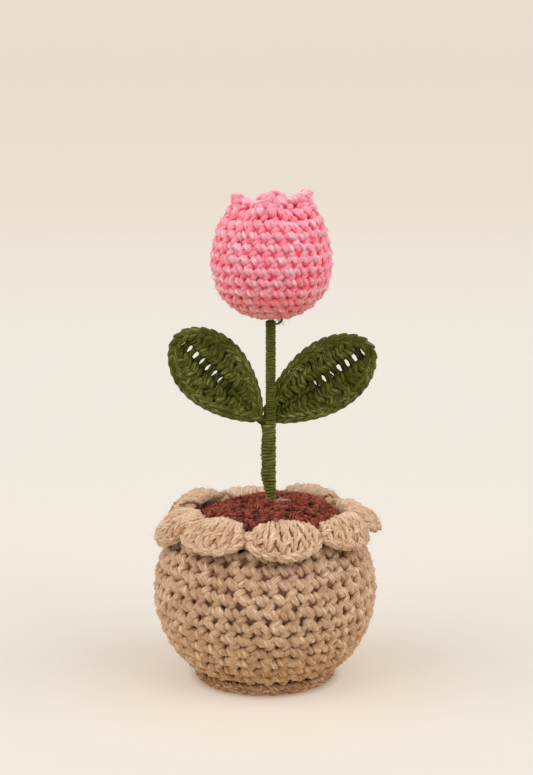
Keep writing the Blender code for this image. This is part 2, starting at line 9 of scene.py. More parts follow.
import bmesh
import bpy
import numpy as np
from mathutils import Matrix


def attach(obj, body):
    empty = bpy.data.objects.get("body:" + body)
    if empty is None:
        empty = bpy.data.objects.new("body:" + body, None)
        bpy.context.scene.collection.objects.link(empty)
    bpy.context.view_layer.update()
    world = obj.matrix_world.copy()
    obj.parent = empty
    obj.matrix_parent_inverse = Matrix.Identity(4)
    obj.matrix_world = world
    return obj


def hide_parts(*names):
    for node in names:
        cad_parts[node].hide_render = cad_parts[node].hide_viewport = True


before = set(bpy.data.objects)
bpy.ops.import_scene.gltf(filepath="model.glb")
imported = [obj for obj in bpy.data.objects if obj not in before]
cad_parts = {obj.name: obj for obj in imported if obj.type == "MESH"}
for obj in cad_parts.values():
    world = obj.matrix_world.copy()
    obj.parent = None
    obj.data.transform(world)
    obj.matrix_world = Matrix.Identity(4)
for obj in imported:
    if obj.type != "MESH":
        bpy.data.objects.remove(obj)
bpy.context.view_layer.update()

TAU = 2.0 * math.pi
MM = 1000.0
UP = np.array([0.0, 0.0, 1.0])
FRONT = np.array([0.0, -1.0, 0.0])
TURN_STEP = 0.02
RNG = np.random.default_rng(11)

# Colours of each yarn, in linear light: its own colour on the crests, its painted shade in the
# crevices, and its painted highlights (glints) on the fibres
BEIGE = ((0.545, 0.362, 0.223), (0.215, 0.086, 0.036), (0.88, 0.76, 0.65))
# Painted light: a lighter copy of the beige for the ruffle, which faces up towards the lamps
BEIGE_LIT_COPY = ((0.620, 0.445, 0.308), (0.40, 0.212, 0.112), BEIGE[2])
# Painted shade: a darker copy of the beige for the base, which lies in the pot's shadow
BEIGE_SHADED_COPY = ((0.415, 0.218, 0.092), (0.10, 0.042, 0.018), BEIGE[2])
# Pink's painted shade is a bright red: a painted glow of light scattered in the yarn
PINK = ((0.69, 0.380, 0.480), (0.93, 0.045, 0.115), (0.98, 0.80, 0.85))
GREEN = ((0.080, 0.085, 0.012), (0.008, 0.008, 0.001), (0.27, 0.28, 0.105))
GREEN_STEM = ((0.106, 0.114, 0.020), GREEN[1], GREEN[2])
BROWN = ((0.43, 0.090, 0.046), (0.090, 0.020, 0.013), (0.62, 0.27, 0.19))

# Other colours, and how wide the lamps seem
GREEN_FUZZ = (0.55, 0.56, 0.06)
WHITE_FILL = (0.80, 0.78, 0.74)
METAL = (0.10, 0.10, 0.045)
WISP = (0.62, 0.55, 0.50)
# Painted light: warm light from the floor, multiplied into what faces down
FLOOR_BOUNCE = (1.0, 0.85, 0.56)
RUFFLE_FLOOR_BOUNCE = (1.0, 0.95, 0.85)
SKY = (0.97, 0.92, 0.86)
BACKDROP = (1.33, 1.15, 0.99)
LAMP = (1.0, 0.97, 0.93)
LAMP_SPREAD = math.radians(60.0)

# Floor: a painted contact shadow under the pot, then further tones, each with where it starts and
# where it is full: painted warm bounce light in the shade round the foot, then painted falloff of
# light that grows darker away from the object
FLOOR_CONTACT_SHADOW = (0.60, 0.48, 0.36)
FLOOR_TONES = (
    (0.0225, 0.0275, (0.84, 0.745, 0.650)),
    (0.035, 0.095, (0.79, 0.750, 0.695)),
    (0.12, 0.45, (0.772, 0.738, 0.690)),
    (0.6, 2.2, (0.735, 0.670, 0.590)),
    (2.5, 6.0, (0.705, 0.635, 0.565)),
)
# Painted light: share of the paper colour that the floor glows with, to lighten its shadows, and share
# of it that takes the lamps' light
FLOOR_GLOW = 0.43
FLOOR_SHADE = 0.48
FLOOR_CORNERS = 96
SURROUND_STRENGTH = 0.60

# Pot
POT_RADIUS = 0.0372
POT_HALF_HEIGHT = 0.0335
POT_CENTRE_Z = 0.0315
POT_FULLNESS = 0.87
POT_FOOT_Z = 0.0046
POT_RIM_Z = 0.0515
POT_ROUNDS = 11
POT_STITCH = 0.0058

# Base
BASE_RADIUS = 0.0232
BASE_HEIGHT = 0.0043
BASE_STITCHES = 42

# Ruffle, whose shells are counted from the front one to the right
SHELLS = 8
RUFFLE_INNER_RADIUS = 0.0266
RUFFLE_OUTER_RADIUS = 0.0302
RUFFLE_FOOT_Z = 0.0518
RUFFLE_TURN = math.radians(11.5)
RUFFLE_COLUMNS = 7
SHELL_CHAINS = RUFFLE_COLUMNS - 2
NOTCH_HEIGHT = 0.0062
NOTCH_OPENING = 0.16
SHELL_ROUNDNESS = 0.42
SHELL_REACHES = (0.0389, 0.0386, 0.0400, 0.0378, 0.0375, 0.0367, 0.0376, 0.0378)
SHELL_CRESTS = (0.0612, 0.0601, 0.0589, 0.0606, 0.0590, 0.0612, 0.0589, 0.0603)
SHELL_EDGES = (0.0508, 0.0508, 0.0502, 0.0512, 0.0512, 0.0505, 0.0488, 0.0512)
SHELL_LEANS = (0.0020, 0.0000, 0.0000, 0.0010, 0.0020, 0.0045, 0.0060, 0.0060)

# A shell's section from its crest round the flap, as shares of the flap, the lean and the drop
FLAP_SECTION = (
    (0.00, 0.75, 0.00), (0.37, 0.18, 0.06), (0.70, 0.15, 0.29), (0.90, 0.00, 0.58),
    (1.00, 0.00, 0.84), (0.86, 0.00, 1.00), (0.67, 0.00, 0.89), (0.50, 0.00, 0.58),
    (0.22, 0.00, 0.38), (0.02, 0.00, 0.52))
SECTION_STEPS = len(FLAP_SECTION) + 3

# Soil
SOIL_RADIUS = 0.0256
SOIL_RIM_RADIUS = 0.0263
SOIL_EDGE_Z = 0.0550
SOIL_TOP_Z = 0.0622
SOIL_PEAK_X = 0.0060
SOIL_FULLNESS = 2.7
SOIL_SKEW = 1.0
SOIL_ROUNDS = 6
SOIL_STITCH = 0.0050
SOIL_PITCH = 0.0038
SOIL_TUFTS = 720
TUFT_HAIRS = 7
HAIR_RADIUS = 0.00014
HAIR_GAP = 0.00030
WISPS = 26
WISP_Z = 0.0618

# Stem
STEM_X = 0.0019
STEM_RADIUS = 0.0017
STEM_FOOT_Z = 0.0530
STEM_TOP_Z = 0.1243
COARSE_TOP_Z = 0.0895
COARSE_PITCH = 0.00105
FINE_PITCH = 0.00072

# Winding below the leaves, as (height, left side, right side), and the loose end from the stem
WINDING_SIDES = (
    (0.0625, STEM_X - STEM_RADIUS, STEM_X + STEM_RADIUS),
    (0.0660, -0.0003, 0.0037),
    (0.0705, -0.0015, 0.0037),
    (0.0745, -0.0011, 0.0037),
    (0.0780, -0.0015, 0.0037),
    (0.0840, -0.0011, 0.0037),
    (0.0882, -0.0008, 0.0036),
    (0.0893, STEM_X - STEM_RADIUS, STEM_X + STEM_RADIUS),
)
LOOSE_END = (
    (0.0010, -0.0012, 0.1236),
    (0.0021, -0.0016, 0.1229),
    (0.0034, -0.0016, 0.1238),
    (0.0036, -0.0014, 0.1248),
    (0.0020, -0.0010, 0.1252),
)

# Leaves
LEAF_HALF_WIDTH = 0.0124
LEAF_BELLY = 1.33
LEAF_BOW = 0.0022
LEAF_COLUMNS = 28
LEAF_ROW = 0.0030
LEAF_CHAINS = 30

# Each leaf's ends of the midrib, holes as (column, how open), and reach of its foot to the stem
LEAVES = {
    "leaf_left": (
        ((-0.0011, 0.0, 0.0897), (-0.0303, 0.0, 0.1188)),
        ((10, 0.15), (13, 0.4), (15, 0.55), (17, 0.7), (19, 0.7), (21, 1.0), (23, 0.8), (25, 0.4)),
        0.0016),
    "leaf_right": (
        ((-0.0007, 0.0043, 0.0891), (0.0368, 0.0043, 0.1146)),
        ((13, 0.3), (15, 0.6), (17, 0.35), (19, 0.9), (21, 0.9), (23, 1.1), (25, 0.5)),
        0.0),
}

# Flower head
HEAD_X = 0.0022
HEAD_FOOT_Z = 0.1246
HEAD_ROUNDS = 14
HEAD_STITCH = 0.0043
HEAD_OUTLINE = (
    (0.0000, 0.0000),
    (0.0095, 0.0018),
    (0.0170, 0.0080),
    (0.0198, 0.0155),
    (0.0200, 0.0215),
    (0.0184, 0.0290),
    (0.0165, 0.0360),
    (0.0142, 0.0413),
)
STAR_TURN = math.radians(-10.0)
STAR_TIP = 0.0134
STAR_HALF_WIDTH = 0.0025
STAR_HEIGHT = 0.0110
STAR_BEND = 0.2
STAR_BLUNT = 0.0010
STAR_DIP = 0.0034
STAR_TILT = 0.0011
STAR_TILT_TURN = math.radians(-45.0)

# Strands of a single crochet, as (start across, start up, end across, end up, radius, crest).
# Across is in stitches from the hole below, the rest in rounds.
SINGLE_CROCHET = (
    (-0.50, 1.04, -0.05, 0.34, 0.250, -0.060),
    (-0.16, 1.04, 0.30, 0.32, 0.250, -0.070),
    (-0.04, -0.02, 0.46, 0.50, 0.300, -0.075),
    (0.14, 0.50, 0.60, 1.02, 0.225, -0.150),
)

# Ridge that each round makes, in rounds: its height, where its crest is, and the strands' dip
RIDGE = 0.075
RIDGE_CREST = 0.80
STRAND_DIP = 0.27

# Shift of each round's stitches from the round below, in stitches
ROUND_SHIFT = 0.57

# Plied strands: how many plies they have, and their twist in radians a metre
PLIES = 3
PLIED_TWIST = 850.0

# Plies of the yarn's colour: their width in millimetres, and their turns in a millimetre
PLY_WIDTH = 1.0
PLY_TWIST = 0.30

# Values that strands keep for their colour: lit for painted shade and light, tint for a random tone
# that the leaves' edges raise as painted light, pale for pale fibres and painted rim light, and under
# for the painted warm light from the floor; and how far their patterns are apart in millimetres
LOOKS = ("lit", "tint", "pale", "under")
STRAND_SHIFT = 9.0

# Camera of the photograph
CAMERA_AIM = (0.0005, 0.0, 0.101)
CAMERA_DISTANCE = 0.62
CAMERA_PITCH = math.radians(10.4)
LENS = 85.25


def unit(vectors):
    """Vectors scaled to length one."""
    return vectors / np.maximum(np.linalg.norm(vectors, axis=-1, keepdims=True), 1e-12)


def polar(turn, radius, height):
    """Points at a turn, a radius and a height."""
    return np.stack(np.broadcast_arrays(radius * np.cos(turn), radius * np.sin(turn), height), -1)


def surface_of(place, step):
    """A function for a surface's points and normals, from the one for its points."""

    def surface(turn, along):
        around = place(turn + TURN_STEP, along) - place(turn - TURN_STEP, along)
        onward = place(turn, along + step) - place(turn, along - step)
        return place(turn, along), unit(np.cross(around, onward))

    return surface


def spline(p, q, r, s, share):
    """Place and slope at a share of the way from q to r, on a smooth line from p to s."""
    linear, square, cube = r - p, 2 * p - 5 * q + 4 * r - s, 3 * q - p - 3 * r + s
    place = q + 0.5 * (linear * share + square * share ** 2 + cube * share ** 3)
    return place, 0.5 * linear + square * share + 1.5 * cube * share ** 2


def smooth_line(points, samples):
    """A smooth line through points, with samples steps between each two."""
    points = np.asarray(points, float)
    padded = np.concatenate([2 * points[:1] - points[1:2], points, 2 * points[-1:] - points[-2:-1]])
    share = (np.arange(samples) / samples)[:, None]
    fours = zip(padded, padded[1:], padded[2:], padded[3:])
    return np.concatenate([spline(*four, share)[0] for four in fours] + [points[-1:]])


def strand_steps(count):
    """Shares of the way along a strand, and an arch that is 0 at its ends and 1 halfway."""
    share = np.linspace(0.0, 1.0, count)
    return share, np.sin(math.pi * share)


def tapered(arch, ends):
    """How thick a strand is along its arch, as a share, from its ends' share."""
    return ends + (1.0 - ends) * arch ** 0.5


def lengths_of(paths):
    """Lengths so far along paths."""
    steps = np.linalg.norm(np.diff(paths, axis=-2), axis=-1)
    return np.concatenate([0.0 * steps[..., :1], np.cumsum(steps, axis=-1)], axis=-1)


def frames(paths, ups):
    """Tangents, sideways and upward directions along paths."""
    tangents = unit(np.gradient(paths, axis=1))
    across = unit(np.cross(tangents, ups))
    return tangents, across, np.cross(across, tangents)


def vary(spread, *shape):
    """Random values around 0, most of them within spread."""
    return RNG.normal(0.0, spread, shape)


def put(name, data):
    """A new object in the scene."""
    obj = bpy.data.objects.new(name, data)
    bpy.context.scene.collection.objects.link(obj)
    return obj


class Yarn:
    """Strands of yarn over a core, gathered and then built as one mesh."""

    def __init__(self, node, inset, lit=0.0, thin=None):
        """Begin with a CAD node's shape drawn in, shaded as the depth of the crochet."""
        self.batches = []
        self.spots = []
        bm = bmesh.new()
        bm.from_mesh(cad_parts[node].data)
        bmesh.ops.remove_doubles(bm, verts=bm.verts, dist=1e-6)
        bm.normal_update()
        verts = np.array([vert.co - inset * vert.normal for vert in bm.verts])
        if thin:
            verts = thin(verts)
        faces = np.array([[vert.index for vert in face.verts] for face in bm.faces])
        bm.free()
        corners = MM * (verts @ ((1.0, 0.0), (1.0, 0.0), (0.0, 1.0)))[faces.ravel()]
        self.keep(verts, [faces], [corners], lit=lit)

    def keep(self, verts, groups, uvs, **looks):
        """Keep vertices, groups of faces with their UVs, and values for the colour."""
        values = {key: np.broadcast_to(looks.get(key, 0.0), verts.shape[:-1]).ravel() for key in LOOKS}
        self.batches.append((verts.reshape(-1, 3), groups, uvs, values))

    def add(self, paths, radii, ups, heights, span, sides=9, tint=None, pale=0.0):
        """Sweep strands along paths (strands, points, 3).

        heights are the paths' distances above the piece's surface, and span is the height over
        which a strand goes from shaded to lit. tint and pale are kept for the colour.
        """
        count, points = paths.shape[:2]
        radii, heights = (np.broadcast_to(value, (count, points)) for value in (radii, heights))
        ups = np.broadcast_to(ups, paths.shape)
        tangents, across, over = frames(paths, ups)
        around = np.arange(sides) / sides
        start = RNG.uniform(0, TAU, (count, 1, 1))
        side = radii[:, :, None] * np.sin(TAU * around)
        rise = -radii[:, :, None] * np.cos(TAU * around)
        verts = (paths[:, :, None, :] + side[..., None] * across[:, :, None, :]
                 + rise[..., None] * over[:, :, None, :])
        lit = np.clip((heights[:, :, None] + rise) / span + 0.5, 0.0, 1.0)
        if tint is None:
            tint = vary(1.0, count)
        index = np.arange(lit.size).reshape(lit.shape)
        after = np.roll(index, -1, axis=2)
        quads = np.stack([index[:, :-1], after[:, :-1], after[:, 1:], index[:, 1:]], axis=-1)
        caps = np.concatenate([index[:, 0, ::-1], index[:, -1]])
        corner_u = np.stack([around, around + 1 / sides, around + 1 / sides, around], axis=-1)
        corner_u = MM * TAU * radii.max() * corner_u + STRAND_SHIFT * start[..., None]
        lengths = lengths_of(paths)
        ends = np.stack([lengths[:, :-1], lengths[:, 1:]], axis=-1)
        corner_v = MM * ends[:, :, None, [0, 0, 1, 1]]
        corners = np.stack(np.broadcast_arrays(corner_u, corner_v), -1).reshape(-1, 2)
        self.keep(verts, [quads.reshape(-1, 4), caps], [corners, np.zeros((caps.size, 2))], lit=lit,
                  tint=np.reshape(tint, (-1, 1, 1)), pale=pale, under=np.clip(-ups[..., 2:], 0.0, 1.0))
        middle = points // 2
        self.spots.append((paths[:, middle] + radii[:, middle, None] * ups[:, middle],
                           unit(ups[:, middle]), tangents[:, middle]))

    def add_plied(self, paths, radii, ups, heights, span):
        """Sweep strands that are each twisted from plies."""
        _, across, over = frames(paths, ups)
        start = RNG.uniform(0, TAU, (len(paths), 1))
        for ply in range(PLIES):
            angle = TAU * ply / PLIES + start + PLIED_TWIST * lengths_of(paths)
            side, rise = 0.5 * radii * np.sin(angle), 0.5 * radii * np.cos(angle)
            self.add(paths + side[..., None] * across + rise[..., None] * over, 0.56 * radii, ups,
                     heights + rise, span, sides=6, tint=vary(1.6, len(paths)))

    def add_fuzz(self, count, length, radius, lean=0.6):
        """Fine loose fibres that stand out from the strands."""
        spots, ups, tangents = (np.concatenate(kind) for kind in zip(*self.spots))
        pick = RNG.integers(0, len(spots), count)
        spots, ups, tangents = spots[pick], ups[pick], tangents[pick]
        reach = length * RNG.uniform(0.4, 1.0, (count, 1))
        heading = unit(tangents * vary(1, count, 1)
                       + np.cross(tangents, ups) * vary(1, count, 1))
        curl = unit(np.cross(heading, ups)) * vary(0.5, count, 1)
        share = np.linspace(0.0, 1.0, 5)[:, None]
        rise = RNG.uniform(0.1, 1.0, (count, 1))[:, None, :] * (1.0 - lean * share)
        bent = heading[:, None] + rise * ups[:, None] + share * curl[:, None]
        paths = (spots - 0.0003 * ups)[:, None] + reach[:, None] * share * bent
        paths[..., 2] = np.maximum(paths[..., 2], 0.0002)
        taper = radius * np.array([1.0, 1.0, 0.9, 0.7, 0.3])
        side = unit(np.cross(heading, ups) + 0.1 * ups)
        self.add(paths, taper, side[:, None], 0.001, 0.001, sides=3)
        self.spots.pop()

    def build(self, name, material):
        """Make the gathered strands one mesh object."""
        loops, sizes, uvs = [], [], []
        first = 0
        for verts, groups, corners, _ in self.batches:
            for faces in groups:
                loops.append(faces.ravel() + first)
                sizes.append(np.full(len(faces), faces.shape[1]))
            uvs += corners
            first += len(verts)

        def fill(items, key, values, kind=np.float32):
            items.foreach_set(key, np.concatenate(values).astype(kind).ravel())

        mesh = bpy.data.meshes.new(name)
        mesh.vertices.add(first)
        fill(mesh.vertices, "co", [batch[0] for batch in self.batches])
        mesh.loops.add(sum(len(loop) for loop in loops))
        fill(mesh.loops, "vertex_index", loops, np.int32)
        sizes = np.concatenate(sizes)
        mesh.polygons.add(len(sizes))
        fill(mesh.polygons, "loop_start", [np.cumsum(sizes) - sizes], np.int32)
        fill(mesh.uv_layers.new(name="strand").data, "uv", uvs)
        for key in LOOKS:
            attribute = mesh.attributes.new(key, "FLOAT", "POINT")
            fill(attribute.data, "value", [batch[3][key] for batch in self.batches])
        mesh.update(calc_edges=True)
        mesh.validate()
        mesh.shade_smooth()
        mesh.materials.append(material)
        return put(name, mesh)


# Materials

class Nodes:
    """Fills the nodes of a material or world."""

    def __init__(self, owner):
        owner.use_nodes = True
        self.tree = owner.node_tree

    def make(self, kind, **inputs):
        """Set or link the inputs of a node, which is added unless kind names one that is there.

        An input goes by its name, with _ for each space, or by its number, as in i0.
        """
        node = self.tree.nodes.get(kind) or self.tree.nodes.new(kind)
        for key, value in inputs.items():
            target = node.inputs.get(key.replace("_", " "))
            if key[0] == "i" and key[1:].isdigit():
                target = node.inputs[int(key[1:])]
            if target is None:
                setattr(node, key, value)
            elif isinstance(value, bpy.types.NodeSocket):
                self.tree.links.new(value, target)
            else:
                target.default_value = (*value, 1.0) if target.type == "RGBA" else value
        return node

    def maths(self, operation, first, second=0.0, third=0.0):
        """The result of an operation on up to three values."""
        return self.make("ShaderNodeMath", operation=operation, i0=first, i1=second,
                         i2=third).outputs[0]

    def ramp(self, value, low, high):
        """A smooth step from 0 at low to 1 at high."""
        return self.make("ShaderNodeMapRange", i0=value, i1=low, i2=high, i3=0.0, i4=1.0,
                         interpolation_type="SMOOTHSTEP").outputs[0]

    def mix(self, factor, first, second, blend="MIX"):
        """A colour blended from two."""
        return self.make("ShaderNodeMix", data_type="RGBA", blend_type=blend, i0=factor, i6=first,
                         i7=second).outputs[2]

    def noise(self, place, scale, stretch=(1.0, 1.0, 1.0)):
        """Noise at a place, whose scale can differ from axis to axis."""
        spot = self.make("ShaderNodeMapping", Vector=place, Scale=stretch).outputs["Vector"]
        return self.make("ShaderNodeTexNoise", Vector=spot, Scale=scale, Detail=2.5,
                         Roughness=0.6).outputs["Fac"]

    def body(self):
        """Places on the object."""
        return self.make("ShaderNodeTexCoord").outputs["Object"]


def yarn_material(name, colours, sheen, fibre=0.5, shine=0.5, specular=0.2, relief=0.7, down=None,
                  bounce_tint=FLOOR_BOUNCE):
    """Plied yarn: lit crests, painted shade in crevices, twisted plies, fibres along them, painted
    glints.

    down is the colour of the sheen, and bounce_tint paints warm light from the floor on what faces
    down.
    """
    material = bpy.data.materials.new(name)
    nodes = Nodes(material)
    make, maths, ramp, mix = nodes.make, nodes.maths, nodes.ramp, nodes.mix
    light, crevice_shade, glint = colours
    lit, tint, pale, under = (
        make("ShaderNodeAttribute", attribute_name=key).outputs["Fac"] for key in LOOKS)
    place = make("ShaderNodeUVMap", uv_map="strand").outputs["UV"]
    split = make("ShaderNodeSeparateXYZ", Vector=place).outputs
    hairs = ramp(nodes.noise(place, 1.0, (2.2, 0.32, 1.0)), 0.37, 0.63)
    patches = nodes.noise(nodes.body(), 140.0)
    turns = maths("MULTIPLY_ADD", split["Y"], -PLY_TWIST, maths("DIVIDE", split["X"], PLY_WIDTH))
    ply = maths("COSINE", maths("MULTIPLY", maths("ADD", patches, turns), TAU))
    # Painted shade: the lit value takes the colour from the crevice shade up to the yarn's own colour,
    # and the plies' cosine adds a little painted shade in the grooves between plies
    level = maths("MULTIPLY", ramp(lit, -0.15, 0.85), 0.80)
    for value, middle, weight in ((ply, 0.0, 0.08), (tint, 0.0, 0.05), (hairs, 0.5, fibre),
                                  (patches, 0.5, 0.9)):
        level = maths("MULTIPLY_ADD", maths("SUBTRACT", value, middle), weight, level)
    # Painted highlights: glints along the fibres where a strand is lit
    streak = maths("MULTIPLY", ramp(hairs, 0.55, 1.0), ramp(lit, 0.45, 1.0))
    streak = maths("MULTIPLY", streak, ramp(patches, 0.38, 0.60))
    colour = mix(maths("MULTIPLY", streak, shine), mix(level, crevice_shade, light), glint)
    # Painted warm light from the floor on what faces down, then pale fibres and painted rim light
    colour = mix(pale, mix(under, colour, bounce_tint, "MULTIPLY"), WISP)
    rise = maths("MULTIPLY_ADD", ply, 0.35, hairs)
    bump = make("ShaderNodeBump", Strength=relief, Distance=0.00015, Height=rise)
    make("Principled BSDF", Base_Color=colour, Normal=bump.outputs[0], Roughness=0.7,
         Specular_IOR_Level=specular, Sheen_Weight=sheen, Sheen_Roughness=0.45,
         Sheen_Tint=down or [0.55 + 0.45 * c for c in light])
    return material


def plain_material(name, light, darker, scale, roughness, metallic=0.0):
    """A material whose tone drifts over the body between its colour and a darker share of it."""
    material = bpy.data.materials.new(name)
    nodes = Nodes(material)
    drift = nodes.make("ShaderNodeTexNoise", Vector=nodes.body(), Scale=scale, Detail=3.0)
    colour = nodes.mix(drift.outputs["Fac"], [darker * c for c in light], light)
    nodes.make("Principled BSDF", Base_Color=colour, Roughness=roughness, Metallic=metallic)
    return material


# Crochet on a surface

def stitched(yarn, surface, rounds, pitch, span, plump=1.0, sink=0.0, wobble=1.3):
    """Lay single crochet on a surface.

    surface(turn, along) gives points and normals, and each round is (low, high, stitches, shift).
    plump scales the strands, sink is how far they are drawn in, and wobble how uneven they are.
    """
    share = 0.5 - 0.5 * np.cos(np.linspace(0.0, math.pi, 6))
    arch = np.sin(math.pi * share)
    for low, high, stitches, shift in rounds:
        for start_u, start_v, end_u, end_v, radius, crest in SINGLE_CROCHET:
            ends = vary(0.035 * wobble, stitches, 4)
            number = np.arange(stitches)[:, None]
            lean = vary(0.05 * wobble, stitches, 1)
            u = start_u + ends[:, :1] + share * (end_u - start_u + ends[:, 1:2])
            v = start_v + ends[:, 2:3] + share * (end_v - start_v + ends[:, 3:]) + lean * arch
            places, normals = surface(TAU * (number + shift + u) / stitches, low + (high - low) * v)
            girth = plump * radius * pitch * (1.0 + vary(0.06 * wobble, stitches, 1))
            top = (crest + vary(0.018 * wobble, stitches, 1)) * pitch - sink
            fall = 1.0 - np.sin(math.pi * share ** (0.75 if start_v > end_v else 1.0)) ** 0.7
            ridge = RIDGE * pitch * np.cos(TAU * (v - RIDGE_CREST))
            heights = top - STRAND_DIP * pitch * fall + ridge
            # The lit value takes more of the ridge than the shape: painted highlight on each round's
            # crest and painted shade in the valley below it
            yarn.add(places + heights[..., None] * normals, girth * tapered(arch, 0.60), normals,
                     heights + 0.6 * ridge, span, sides=8)


def rounds_on(radius, low, high, count, stitch):
    """Rounds of stitches between two distances: (low, high, stitches, shift).

    radius is a function of the distance.
    """
    edges = np.linspace(low, high, count + 1)
    rounds = []
    for number, (start, end) in enumerate(zip(edges, edges[1:])):
        stitches = max(5, round(TAU * float(radius(0.5 * (start + end))) / stitch))
        rounds.append((start, end, stitches, ROUND_SHIFT * number))
    return rounds


def braid(yarn, surface, count, rows, radius, span, sink=0.0):
    """Chain stitches along an edge: rows of strands that lean in turn one way and the other.

    rows are (middle, half reach, lean) across the edge; surface(along, across) takes stitches,
    and sink is how far the strands lie in it.
    """
    share, arch = strand_steps(7)
    for middle, half, lean in rows:
        number = np.arange(count)[:, None]
        jitter = vary(0.05, count, 3)
        along = number + jitter[:, :1] - 0.25 + 1.45 * share
        across = middle + lean * half * (2.0 * share - 1.0) + jitter[:, 1:2] * half
        places, normals = surface(along, across)
        heights = (0.15 * arch + jitter[:, 2:] - 0.75 * (1.0 - arch ** 0.6)) * radius - sink
        radii = radius * tapered(arch, 0.60) * (1.0 + jitter[:, 2:])
        yarn.add_plied(places + heights[..., None] * normals, radii, normals, heights, span)


# Pot

def pot_place(turn, tilt):
    """A point of the pot's ball, which is fuller below its middle, at a turn and a latitude."""
    flat = POT_RADIUS * np.cos(tilt) ** np.where(tilt < 0.0, POT_FULLNESS, 1.0)
    return polar(turn, flat, POT_CENTRE_Z + POT_HALF_HEIGHT * np.sin(tilt))


def make_pot(material):
    """The pot's wall in rounds of single crochet."""
    yarn = Yarn("pot_body", 0.0010, lit=0.05)
    low, high = (math.asin((z - POT_CENTRE_Z) / POT_HALF_HEIGHT) for z in (POT_FOOT_Z, POT_RIM_Z))
    rounds = rounds_on(lambda tilt: pot_place(0.0, tilt)[0], low, high, POT_ROUNDS, POT_STITCH)
    pitch = (high - low) / POT_ROUNDS * 0.5 * (POT_RADIUS + POT_HALF_HEIGHT)
    stitched(yarn, surface_of(pot_place, TURN_STEP), rounds, pitch, span=0.0022, plump=1.07)
    yarn.add_fuzz(1500, 0.0028, 0.00003)
    return yarn.build("pot_crochet", material)


def make_base(material):
    """The base, with a chain of stitches round its edge and a strand up to the pot from each."""
    yarn = Yarn("pot_base", 0.0006, lit=0.10)

    def edge(along, across):
        turn = TAU * along / BASE_STITCHES
        radius = BASE_RADIUS - 0.0004 * (1.0 - np.cos(1.1 * across))
        height = 0.5 * BASE_HEIGHT * (1.0 + 0.62 * across)
        return polar(turn, radius, height), polar(turn, np.cos(0.6 * across), np.sin(0.6 * across))

    rows = ((0.60, 0.36, -1.0), (-0.38, 0.50, 1.0))
    braid(yarn, edge, BASE_STITCHES, rows, 0.00122, 0.0019, sink=0.0001)
    share = np.linspace(0.0, 1.0, 6)
    turn = TAU * (np.arange(BASE_STITCHES)[:, None] + 1.3 * share) / BASE_STITCHES
    paths = polar(turn, BASE_RADIUS + 0.0001 - 0.0010 * share, BASE_HEIGHT + 0.0007 + 0.0012 * share)
    yarn.add_plied(paths, 0.00110, unit(polar(turn, 1.0, 1.0)), -0.0005, 0.0018)
    yarn.add_fuzz(100, 0.0025, 0.00003)
    return yarn.build("base_crochet", material)


# Ruffle

def ruffle_section(opening, shell):
    """Section of a shell from its inner foot over the crest and back under the flap."""
    reach, crest, edge = SHELL_REACHES[shell], SHELL_CRESTS[shell], SHELL_EDGES[shell]
    lean = SHELL_LEANS[shell]
    inner, outer, foot = RUFFLE_INNER_RADIUS, RUFFLE_OUTER_RADIUS, RUFFLE_FOOT_Z
    flap, drop, rise = reach - outer, crest - edge, crest - foot
    over = [(outer + flap * out - lean * back, crest - drop * down)
            for out, back, down in FLAP_SECTION]
    wide = np.array([(inner, foot), (inner, foot + 0.45 * rise),
                     (inner + 0.0010 - lean, foot + 0.82 * rise), *over, (outer, foot)])
    lap = math.pi * np.arange(len(wide)) / SECTION_STEPS
    radius = 0.5 * (inner + outer) - 0.5 * (outer - inner) * np.cos(lap)
    notch = np.stack([radius, foot + NOTCH_HEIGHT * np.sin(lap)], -1)
    return notch + (wide - notch) * opening


def ruffle_surface(across, along):
    """Points and normals of the ruffle: across counts shells, along counts section points."""
    across, along = np.broadcast_arrays(across, along)
    places = np.empty(across.shape + (3,))
    normals = np.empty_like(places)
    for index in np.ndindex(across.shape):
        shell = int(math.floor(across[index]))
        swell = max(math.sin(math.pi * (across[index] - shell)), 0.0) ** SHELL_ROUNDNESS
        section = ruffle_section(NOTCH_OPENING + (1.0 - NOTCH_OPENING) * swell, shell % SHELLS)
        place = min(max(along[index], 0.0), SECTION_STEPS - 0.001)
        step = int(place)
        four = [section[min(max(near, 0), SECTION_STEPS)] for near in range(step - 1, step + 3)]
        (reach, height), slope = spline(*four, place - step)
        slope = unit(slope)
        turn = TAU * (across[index] - 0.5) / SHELLS + RUFFLE_TURN - 0.5 * math.pi
        places[index] = polar(turn, reach, height)
        normals[index] = polar(turn, -slope[1], slope[0])
    return places, normals


